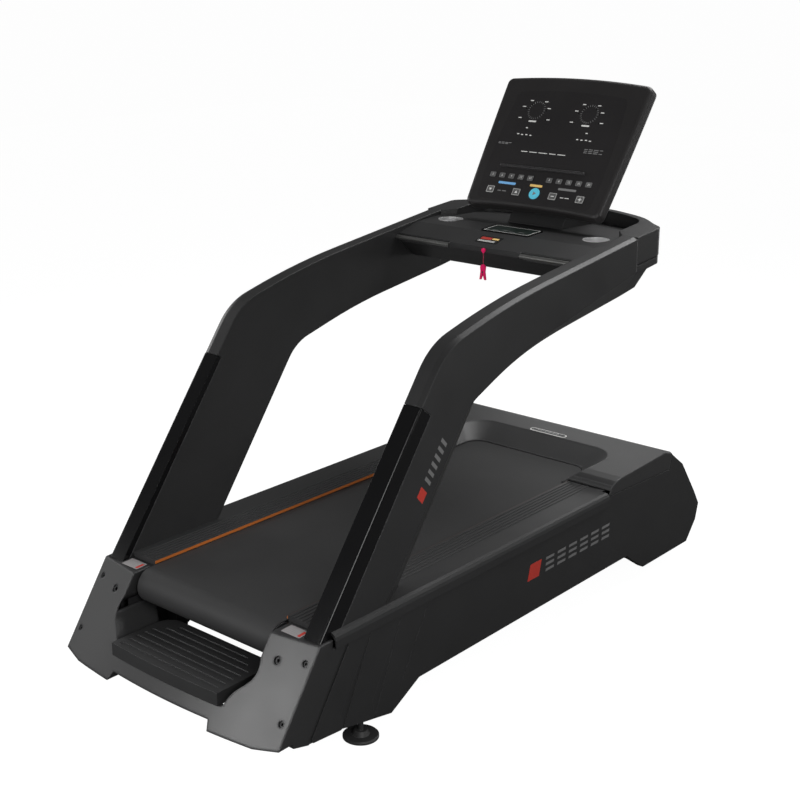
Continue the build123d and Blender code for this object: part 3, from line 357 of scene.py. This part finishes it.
PRINT = {
    "overlay": shade("print_overlay", (0.024, 0.022, 0.023), 0.4, grain=0.02, specular=0.5, bevel=0.3),
    # The light, blue and amber prints carry a painted glow.
    "light": shade("print_light", (0.8, 0.8, 0.78), 0.55, vary=0.2, bevel=0.1, glow=0.2),
    "grey": shade("print_grey", (0.32, 0.32, 0.32), 0.55, vary=0.2, bevel=0.1),
    "cover": shade("print_cover", (0.2, 0.2, 0.2), 0.5, vary=0.2, bevel=0.1),
    # Near-black: print on some pieces, painted shade in the screw slots and vents on others.
    "dark": shade("dark_print_and_slot_shade", (0.008, 0.008, 0.008), 0.25, bevel=0.1),
    "blue": shade("print_blue", (0.2, 0.48, 0.85), 0.45, bevel=0.1, glow=0.25),
    "amber": shade("print_amber", (0.9, 0.6, 0.2), 0.45, bevel=0.1, glow=0.25),
    "red": shade("print_red", (0.6, 0.045, 0.03), 0.45, bevel=0.1),
    "white": shade("print_white", (0.36, 0.34, 0.34), 0.5, bevel=0.1),
    "green": shade("print_green", (0.012, 0.022, 0.018), 0.3, bevel=0.1),
}
SLOT_OF = {part["node"]: part["material_slot"] for part in frame["record"]["subparts"]}

PANEL_BLACK = shade("panel_black", (0.026, 0.026, 0.0265), 0.44, grain=0.05, specular=0.45, bevel=1.5,
                    wear_and_sheen=0.25)
TREAD_BLACK = shade("tread_black", (0.028, 0.028, 0.0285), 0.46, grain=0.08, specular=0.45, bevel=1.2,
                    wear_and_sheen=0.6)
CAP_BLACK = shade("cap_black", (0.03, 0.03, 0.0305), 0.4, grain=0.05, specular=0.5, bevel=9.0, wear_and_sheen=0.3)
FOOT_GREY = shade("foot_grey", (0.05, 0.05, 0.05), 0.5, grain=0.1, bevel=2.0, wear_and_sheen=0.5)
GRIP_STEEL = shade("grip_steel", (0.34, 0.34, 0.33), 0.3, metallic=0.9, bevel=0.5)
NODE_FINISH = {
    "rear_cap": CAP_BLACK,
    "left_levelling_foot": FOOT_GREY,
    "right_levelling_foot": FOOT_GREY,
    "grip_bars": GRIP_STEEL,
    "left_side_cover": PANEL_BLACK,
    "right_side_cover": PANEL_BLACK,
    "rear_step": TREAD_BLACK,
}


def dress_cad_nodes():
    """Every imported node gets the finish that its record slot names, or a variant of it."""
    for name, node in frame["nodes"].items():
        finish = NODE_FINISH.get(name, FINISH[SLOT_OF[name]])
        node.data.materials.clear()
        node.data.materials.append(finish)


dress_cad_nodes()
safety_cord.data.materials.append(FINISH["cord_red"])


# ---- thin printed and fitted pieces -------------------------------------------------------------
def rounded(width, height, radius, centre=(0, 0), steps=5):
    """The points of a rounded rectangle, in millimetres."""
    points = []
    corners = ((1, 1, 0), (-1, 1, 90), (-1, -1, 180), (1, -1, 270))
    for side_x, side_y, start in corners:
        corner_x = centre[0] + side_x * (width / 2 - radius)
        corner_y = centre[1] + side_y * (height / 2 - radius)
        for step in range(steps + 1):
            angle = radians(start + 90 * step / steps)
            points.append((corner_x + radius * cos(angle), corner_y + radius * sin(angle)))
    return points


def disc(radius, centre=(0, 0), steps=28):
    """The points of a circle, in millimetres."""
    turns = [2 * pi * step / steps for step in range(steps)]
    return [(centre[0] + radius * cos(turn), centre[1] + radius * sin(turn)) for turn in turns]


def turned(points, angle, centre):
    """Points turned about a centre by an angle in degrees."""
    cosine = cos(radians(angle))
    sine = sin(radians(angle))
    moved = []
    for x, y in points:
        off_x = x - centre[0]
        off_y = y - centre[1]
        moved.append((centre[0] + cosine * off_x - sine * off_y, centre[1] + sine * off_x + cosine * off_y))
    return moved


def face_frame(origin, x_axis, y_axis):
    """The frame of a flat face: millimetres along its two axes, and its normal as the third."""
    x_axis = Vector(x_axis).normalized()
    y_axis = Vector(y_axis).normalized()
    axes = Matrix((x_axis, y_axis, x_axis.cross(y_axis))).transposed().to_4x4()
    return Matrix.Translation(Vector(origin) * MM) @ axes


def raised(name, outlines, frame_matrix, finish, body="chassis", low=0.0, high=0.25, edge=0.0):
    """Outlines raised off a face between two heights in millimetres, as one piece.

    edge is the width of the chamfer around the top, or zero for none.
    """
    mesh = bmesh.new()
    for outline in outlines:
        bottom = [mesh.verts.new((x * MM, y * MM, low * MM)) for x, y in outline]
        top_points = outline
        if edge:
            middle = Vector((sum(x for x, y in outline), sum(y for x, y in outline))) / len(outline)
            reach = max((Vector(point) - middle).length for point in outline)
            top_points = [middle + (Vector(point) - middle) * (1 - edge / reach) for point in outline]
            waist = [mesh.verts.new((x * MM, y * MM, (high - edge) * MM)) for x, y in outline]
        top = [mesh.verts.new((x * MM, y * MM, high * MM)) for x, y in top_points]
        rings = [bottom, waist, top] if edge else [bottom, top]
        for first, second in zip(rings, rings[1:]):
            for here in range(len(first)):
                after = (here + 1) % len(first)
                mesh.faces.new((first[here], first[after], second[after], second[here]))
        mesh.faces.new(top)
        mesh.faces.new(bottom[::-1])
    data = bpy.data.meshes.new(name)
    mesh.to_mesh(data)
    mesh.free()
    data.transform(frame_matrix)
    data.materials.append(finish)
    piece = bpy.data.objects.new(name, data)
    bpy.context.collection.objects.link(piece)
    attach(piece, body)


def bar(x, y, width, height):
    """A plain bar of print."""
    return rounded(width, height, min(width, height) * 0.3, (x, y), 2)


# ---- console print ------------------------------------------------------------------------------
LEAN = radians(34)
CONSOLE_FACE = face_frame((0, 605, 1310), (1, 0, 0), (0, sin(LEAN), cos(LEAN)))
OVERLAY_HIGH = 0.2
PRINT_HIGH = 0.3
SHIFT = -4.0        # the print sits this far to the left of the face's middle
SMALL_PRINT = 2.8
TICK_COUNT = 24
TICK_RADIUS = 33
DIAL_RAISE = 10     # the ticks sit this far above the dial's stated centre
LAMP_RADIUS = 3.4
LAMP_INSET = 11     # from a mark towards the dial's centre
LAMP_DROP = 6


def overlay_outline():
    """The printed sheet of the face, a little inside the moulding and wider towards the top."""
    right = [(240, 34), (246, 130), (243, 290), (230, 432)]
    top = [(218, 448), (110, 457), (0, 460)]
    low = [(228, 22), (0, 18)]
    half = low[::-1] + right + top[:-1]
    left = [(-x, y) for x, y in half[1:]]
    return half + [(0, 460)] + left[::-1]


raised("console_overlay", [overlay_outline()], CONSOLE_FACE, PRINT["overlay"], high=OVERLAY_HIGH)

DIALS = (       # name, centre, marks around it, caption below, small marks
    ("left_dial", (-121, 368),
     ((-155, 415), (-92, 414), (-178, 390), (-71, 388), (-179, 345), (-58, 344)),
     (-121, 334), ((-133, 307), (-160, 281), (-142, 279), (-124, 280), (-106, 279))),
    ("right_dial", (102, 368),
     ((68, 414), (130, 413), (46, 387), (152, 387), (42, 343), (163, 347)),
     (103, 333), ((120, 305), (92, 279), (110, 278), (128, 279), (145, 277))),
)
for name, centre, spots, caption, small in DIALS:
    marks = [bar(x + SHIFT, y, 14, 3.6) for x, y in spots]
    marks += [bar(caption[0] + SHIFT, caption[1], 32, 6)]
    marks += [bar(x + SHIFT, y, 9, 4) for x, y in small]
    raised(f"{name}_marks", marks, CONSOLE_FACE, PRINT["light"], high=PRINT_HIGH)
    hub = (centre[0] + SHIFT, centre[1] + DIAL_RAISE)
    tick = bar(hub[0] + TICK_RADIUS, hub[1], 7, 1.6)
    ticks = [turned(tick, 360 / TICK_COUNT * step, hub) for step in range(TICK_COUNT)]
    raised(f"{name}_ticks", ticks, CONSOLE_FACE, PRINT["grey"], high=PRINT_HIGH)
    lamps = []
    for x, y in spots:
        toward = Vector((centre[0] - x, hub[1] - y)).normalized() * LAMP_INSET
        lamps.append(disc(LAMP_RADIUS, (x + SHIFT + toward.x, y + toward.y - LAMP_DROP), 16))
    raised(f"{name}_lamps", lamps, CONSOLE_FACE, PRINT["dark"], high=PRINT_HIGH)


def caption_lines(x_from, x_to, y_values, words):
    """Rows of short bars of uneven width that stand for printed words."""
    bars = []
    for row, y in enumerate(y_values):
        place = x_from
        for word in range(words - row % 2):
            width = (x_to - x_from) / words * (0.62 + 0.22 * ((word * 7 + row * 3) % 3) / 2)
            bars.append(bar(place + width / 2 + SHIFT, y, width, SMALL_PRINT))
            place += width + (x_to - x_from) / words * 0.18
    return bars


CAPTIONS = (    # name, its ends, the heights of its rows, words in a row, print
    ("left", -229, -162, (243, 238.5), 4, "grey"),
    ("middle", -119, 101, (215,), 5, "light"),
    ("right", 136, 226, (245, 238.5, 232), 4, "grey"),
    ("incline", -154, -105, (57,), 2, "grey"),
    ("speed", 112, 160, (57,), 2, "light"),
)
for name, x_from, x_to, rows, words, ink in CAPTIONS:
    raised(f"caption_{name}", caption_lines(x_from, x_to, rows, words), CONSOLE_FACE, PRINT[ink],
           high=PRINT_HIGH)

LABELS = (      # print, size, centre
    ("blue", (74, 9), (-129, 88)),
    ("amber", (52, 9), (-5, 90)),
    ("grey", (74, 8), (125, 88)),
)
for ink, (width, height), centre in LABELS:
    raised(f"label_{ink}", [rounded(width, height, 3, centre)], CONSOLE_FACE, PRINT[ink], high=PRINT_HIGH)


# ---- key marks ----------------------------------------------------------------------------------
KEY_TOP = 1.6
MARK_BASE = KEY_TOP - 0.1
MARK_TOP = 1.75
LARGE_KEY_Y = 58
QUICK_KEY_Y = 115.5
QUICK_KEY_PITCH = 40.5
NUMERAL_SIZE = 11
NUMERAL_THICK = 0.08
LARGE_KEYS = (
    ("incline_down_key", -189, "down"),
    ("incline_up_key", -77, "up"),
    ("speed_down_key", 77, "minus"),
    ("speed_up_key", 189, "plus"),
)


def key_rim(width, height, centre, line=1.0):
    """Four thin bars that frame a key."""
    x, y = centre
    across = width / 2 - 2
    along = height / 2 - 2
    return [
        bar(x, y + along, width - 4, line),
        bar(x, y - along, width - 4, line),
        bar(x + across, y, line, height - 4),
        bar(x - across, y, line, height - 4),
    ]


def mark_outlines(kind, x, y):
    """The outlines of a key's generic mark."""
    if kind == "up":
        return [[(x - 6, y - 4), (x + 6, y - 4), (x, y + 6)]]
    if kind == "down":
        return [[(x - 6, y + 4), (x, y - 6), (x + 6, y + 4)]]
    if kind == "minus":
        return [bar(x, y, 14, 3)]
    return [bar(x, y, 14, 3), bar(x, y, 3, 14)]


for name, x, kind in LARGE_KEYS:
    outlines = mark_outlines(kind, x, LARGE_KEY_Y) + key_rim(32, 27, (x, LARGE_KEY_Y))
    raised(f"{name}_mark", outlines, CONSOLE_FACE, PRINT["light"], body=f"{name}_body",
           low=MARK_BASE, high=MARK_TOP)


def numeral(name, text, x, y, body):
    """A printed number on a key."""
    curve = bpy.data.curves.new(name, "FONT")
    curve.body = text
    curve.size = NUMERAL_SIZE * MM
    curve.extrude = NUMERAL_THICK * MM
    curve.align_x = "CENTER"
    curve.align_y = "CENTER"
    curve.resolution_u = 2
    curve.materials.append(PRINT["light"])
    piece = bpy.data.objects.new(name, curve)
    bpy.context.collection.objects.link(piece)
    piece.matrix_world = CONSOLE_FACE @ Matrix.Translation(Vector((x, y, MARK_TOP)) * MM)
    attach(piece, body)


for side, first_x, step_value in (("left", -202, 3), ("right", 40, 4)):
    for number in range(5):
        key = f"quick_key_{side}_{number + 1}"
        key_x = first_x + QUICK_KEY_PITCH * number
        numeral(f"{key}_number", str(step_value * (number + 1)), key_x, QUICK_KEY_Y, f"{key}_body")
        raised(f"{key}_rim", key_rim(24, 19, (key_x, QUICK_KEY_Y), 0.8), CONSOLE_FACE, PRINT["grey"],
               body=f"{key}_body", low=MARK_BASE, high=MARK_TOP)
raised("start_key_ring", [disc(19.5, (0, 60), 48)], CONSOLE_FACE, FINISH["key_cyan"],
       body="start_key_body", low=MARK_BASE, high=2.3, edge=0.7)
raised("start_key_mark", [[(-5, 53), (8, 60), (-5, 67)]], CONSOLE_FACE, PRINT["white"],
       body="start_key_body", low=2.2, high=2.45)


# ---- marks on the covers ------------------------------------------------------------------------
COVER_ROWS = (0, 20, -20)
UPRIGHT_LEAN = Vector((0, 0.594, 0.805))
BAR_COUNT = 6


def slanted(x, y, width, height, slant=0.25):
    """A leaning bar."""
    lean = slant * height / 2
    return [
        (x - width / 2 - lean, y - height / 2),
        (x + width / 2 - lean, y - height / 2),
        (x + width / 2 + lean, y + height / 2),
        (x - width / 2 + lean, y + height / 2),
    ]


def cover_marks(side, sign):
    """Plain bars and a block where the side cover carries a printed mark."""
    face = face_frame((sign * 455, 257, 272), (0, sign, 0), (0, 0, 1))
    bars = [
        slanted(sign * (-120 + 66 * step), row, 46, 9)
        for row in COVER_ROWS
        for step in range(BAR_COUNT)
    ]
    raised(f"{side}_cover_bars", bars, face, PRINT["cover"], high=0.4)
    raised(f"{side}_cover_block", [slanted(-205 * sign, 0, 62, 54)], face, PRINT["red"], high=0.4)


def upright_marks(side, sign):
    """Plain bars and a block that run up the outside of the upright."""
    face = face_frame((sign * 446, -462, 745), UPRIGHT_LEAN, Vector((sign, 0, 0)).cross(UPRIGHT_LEAN))
    bars = [slanted(-22 + 24 * step, 0, 11, 32, 0.2) for step in range(BAR_COUNT)]
    raised(f"{side}_upright_bars", bars, face, PRINT["cover"], high=0.3)
    raised(f"{side}_upright_dot", [slanted(-66, 0, 34, 34, 0.2)], face, PRINT["red"], high=0.3)


def rail_end_plate(side, sign):
    """A thin wall that closes the open rear end of the foot rail above the cap."""
    face = face_frame((sign * 334, -878, 397), (1, 0, 0), (0, 0, 1))
    raised(f"{side}_rail_end", [rounded(100, 14, 1)], face, FINISH["rail_black"], high=1.5)


def cap_label(side, sign):
    """A blank label with plain lines on top of the rear cap."""
    face = face_frame((sign * 342, -911, 391.9), (1, 0, 0), (0, 1, 0.0408))
    lines = [bar(-8, 10 - 8 * row, 44, 3.4) for row in range(4)]
    raised(f"{side}_cap_label", [rounded(70, 42, 3)], face, PRINT["white"], high=0.3)
    raised(f"{side}_cap_label_lines", lines, face, PRINT["grey"], high=0.4, low=0.2)
    raised(f"{side}_cap_label_spot", [rounded(10, 30, 2, (26, -1))], face, PRINT["red"], high=0.4,
           low=0.2)


for side, sign in (("right", 1), ("left", -1)):
    cover_marks(side, sign)
    upright_marks(side, sign)
    rail_end_plate(side, sign)
    cap_label(side, sign)

HOOD_TOP = face_frame((3, 768, 451.3), (1, 0, 0), (0, 1, 0.04))
raised("hood_inset_rim", [rounded(158, 27, 13)], HOOD_TOP, PRINT["light"], high=0.5)
raised("hood_inset", [rounded(152, 21, 10)], HOOD_TOP, PRINT["dark"], low=0.2, high=0.9)
raised("hood_inset_line", [bar(0, 0, 96, 3)], HOOD_TOP, PRINT["grey"], low=0.5, high=1.0)

TRAY_SLOPE = face_frame((-20, 410, 1228.5), (1, 0, 0), (0, 108, 31))
raised("tray_sticker", [rounded(92, 48, 2)], TRAY_SLOPE, PRINT["dark"], high=0.5)
raised("tray_sticker_red", [rounded(44, 16, 2, (-16, 8))], TRAY_SLOPE, PRINT["red"], low=0.2, high=0.8)
raised("tray_sticker_amber", [rounded(26, 10, 2, (22, 9))], TRAY_SLOPE, PRINT["amber"], low=0.2,
       high=0.8)
raised("tray_sticker_lines", [bar(-4, -8 - 6 * row, 70, 2.4) for row in range(2)], TRAY_SLOPE,
       PRINT["light"], low=0.2, high=0.8)

PAD_FACE = face_frame((0, 512, 1249.4), (1, 0, 0), (0, 96, 5))
pad_frame = [bar(0, 41, 184, 2), bar(0, -37, 184, 2), bar(-91, 2, 2, 78), bar(91, 2, 2, 78)]
raised("pad_frame", pad_frame, PAD_FACE, PRINT["light"], high=0.4)
raised("pad_film", [rounded(178, 72, 3, (0, 2))], PAD_FACE, PRINT["green"], high=0.3)
raised("pad_words", [bar(-50 + 34 * col, -24 + 9 * (col % 2), 22, 3) for col in range(4)], PAD_FACE,
       PRINT["grey"], high=0.5)


# ---- details on the clip, the back and the front ------------------------------------------------
CLIP_FACE = face_frame((0, 349.4, 1130), (1, 0, 0), (0, 0, 1))
raised("clip_pivot", [disc(3.2, steps=20)], CLIP_FACE, FINISH["steel"], body="safety_tether", high=0.9,
       edge=0.4)
raised("clip_jaw_line", [bar(0, -8, 1.6, 9)], CLIP_FACE, PRINT["dark"], body="safety_tether", high=0.3)

CONSOLE_DEPTH = 66
VENT_LIMIT = 480
back_origin = Vector((0, 605 + CONSOLE_DEPTH * cos(LEAN), 1310 - CONSOLE_DEPTH * sin(LEAN)))
CONSOLE_REAR = face_frame(back_origin, (-1, 0, 0), (0, sin(LEAN), cos(LEAN)))
screw_spots = [(x, y) for x in (-236, 236) for y in (44, 250, 452)]
raised("console_screws", [disc(5, spot, 20) for spot in screw_spots], CONSOLE_REAR, FINISH["steel"],
       high=1.2, edge=0.5)
# Painted shade: a dark bar on each screw head stands for the shade in its slot, which is not cut.
raised("console_screw_slot_shade", [bar(x, y, 6, 1.4) for x, y in screw_spots], CONSOLE_REAR, PRINT["dark"],
       low=1.0, high=1.3)
# Painted shade: dark bars stand for the shade inside the vent slots, which are not cut.
vent_shade_bars = [bar(18 * column, 400 - 70 * row, 8, 48) for column in range(-4, 5) for row in (0, -1)]
low_vent_shade = [vent for vent in vent_shade_bars if max(y for x, y in vent) < VENT_LIMIT]
raised("console_vent_shade", low_vent_shade, CONSOLE_REAR, PRINT["dark"], high=0.5)

# Painted shade: dark bars stand for the shade inside the nose's vent slots, which are not cut.
NOSE_UPPER = face_frame((0, 1100.75, 212), (-1, 0, 0), (0, -39.5, 60))
raised("nose_vent_shade", [bar(22 * column, 0, 10, 44) for column in range(-9, 10)], NOSE_UPPER,
       PRINT["dark"], high=0.5)
NOSE_LOWER = face_frame((-320, 1112.25, 150.5), (-1, 0, 0), (0, 16.5, 63))
raised("inlet_plate", [rounded(86, 44, 5)], NOSE_LOWER, FINISH["rubber"], high=1.5, edge=0.6)
raised("inlet_socket", [rounded(32, 26, 5, (-20, 0))], NOSE_LOWER, PRINT["dark"], low=1.0, high=2.0)
raised("inlet_pins", [bar(-20 + step, 2, 2.4, 7) for step in (-8, 0, 8)], NOSE_LOWER, FINISH["steel"],
       low=1.5, high=2.8)
raised("inlet_switch", [rounded(22, 28, 2, (22, 0))], NOSE_LOWER, PRINT["red"], low=1.0, high=3.0,
       edge=1.0)
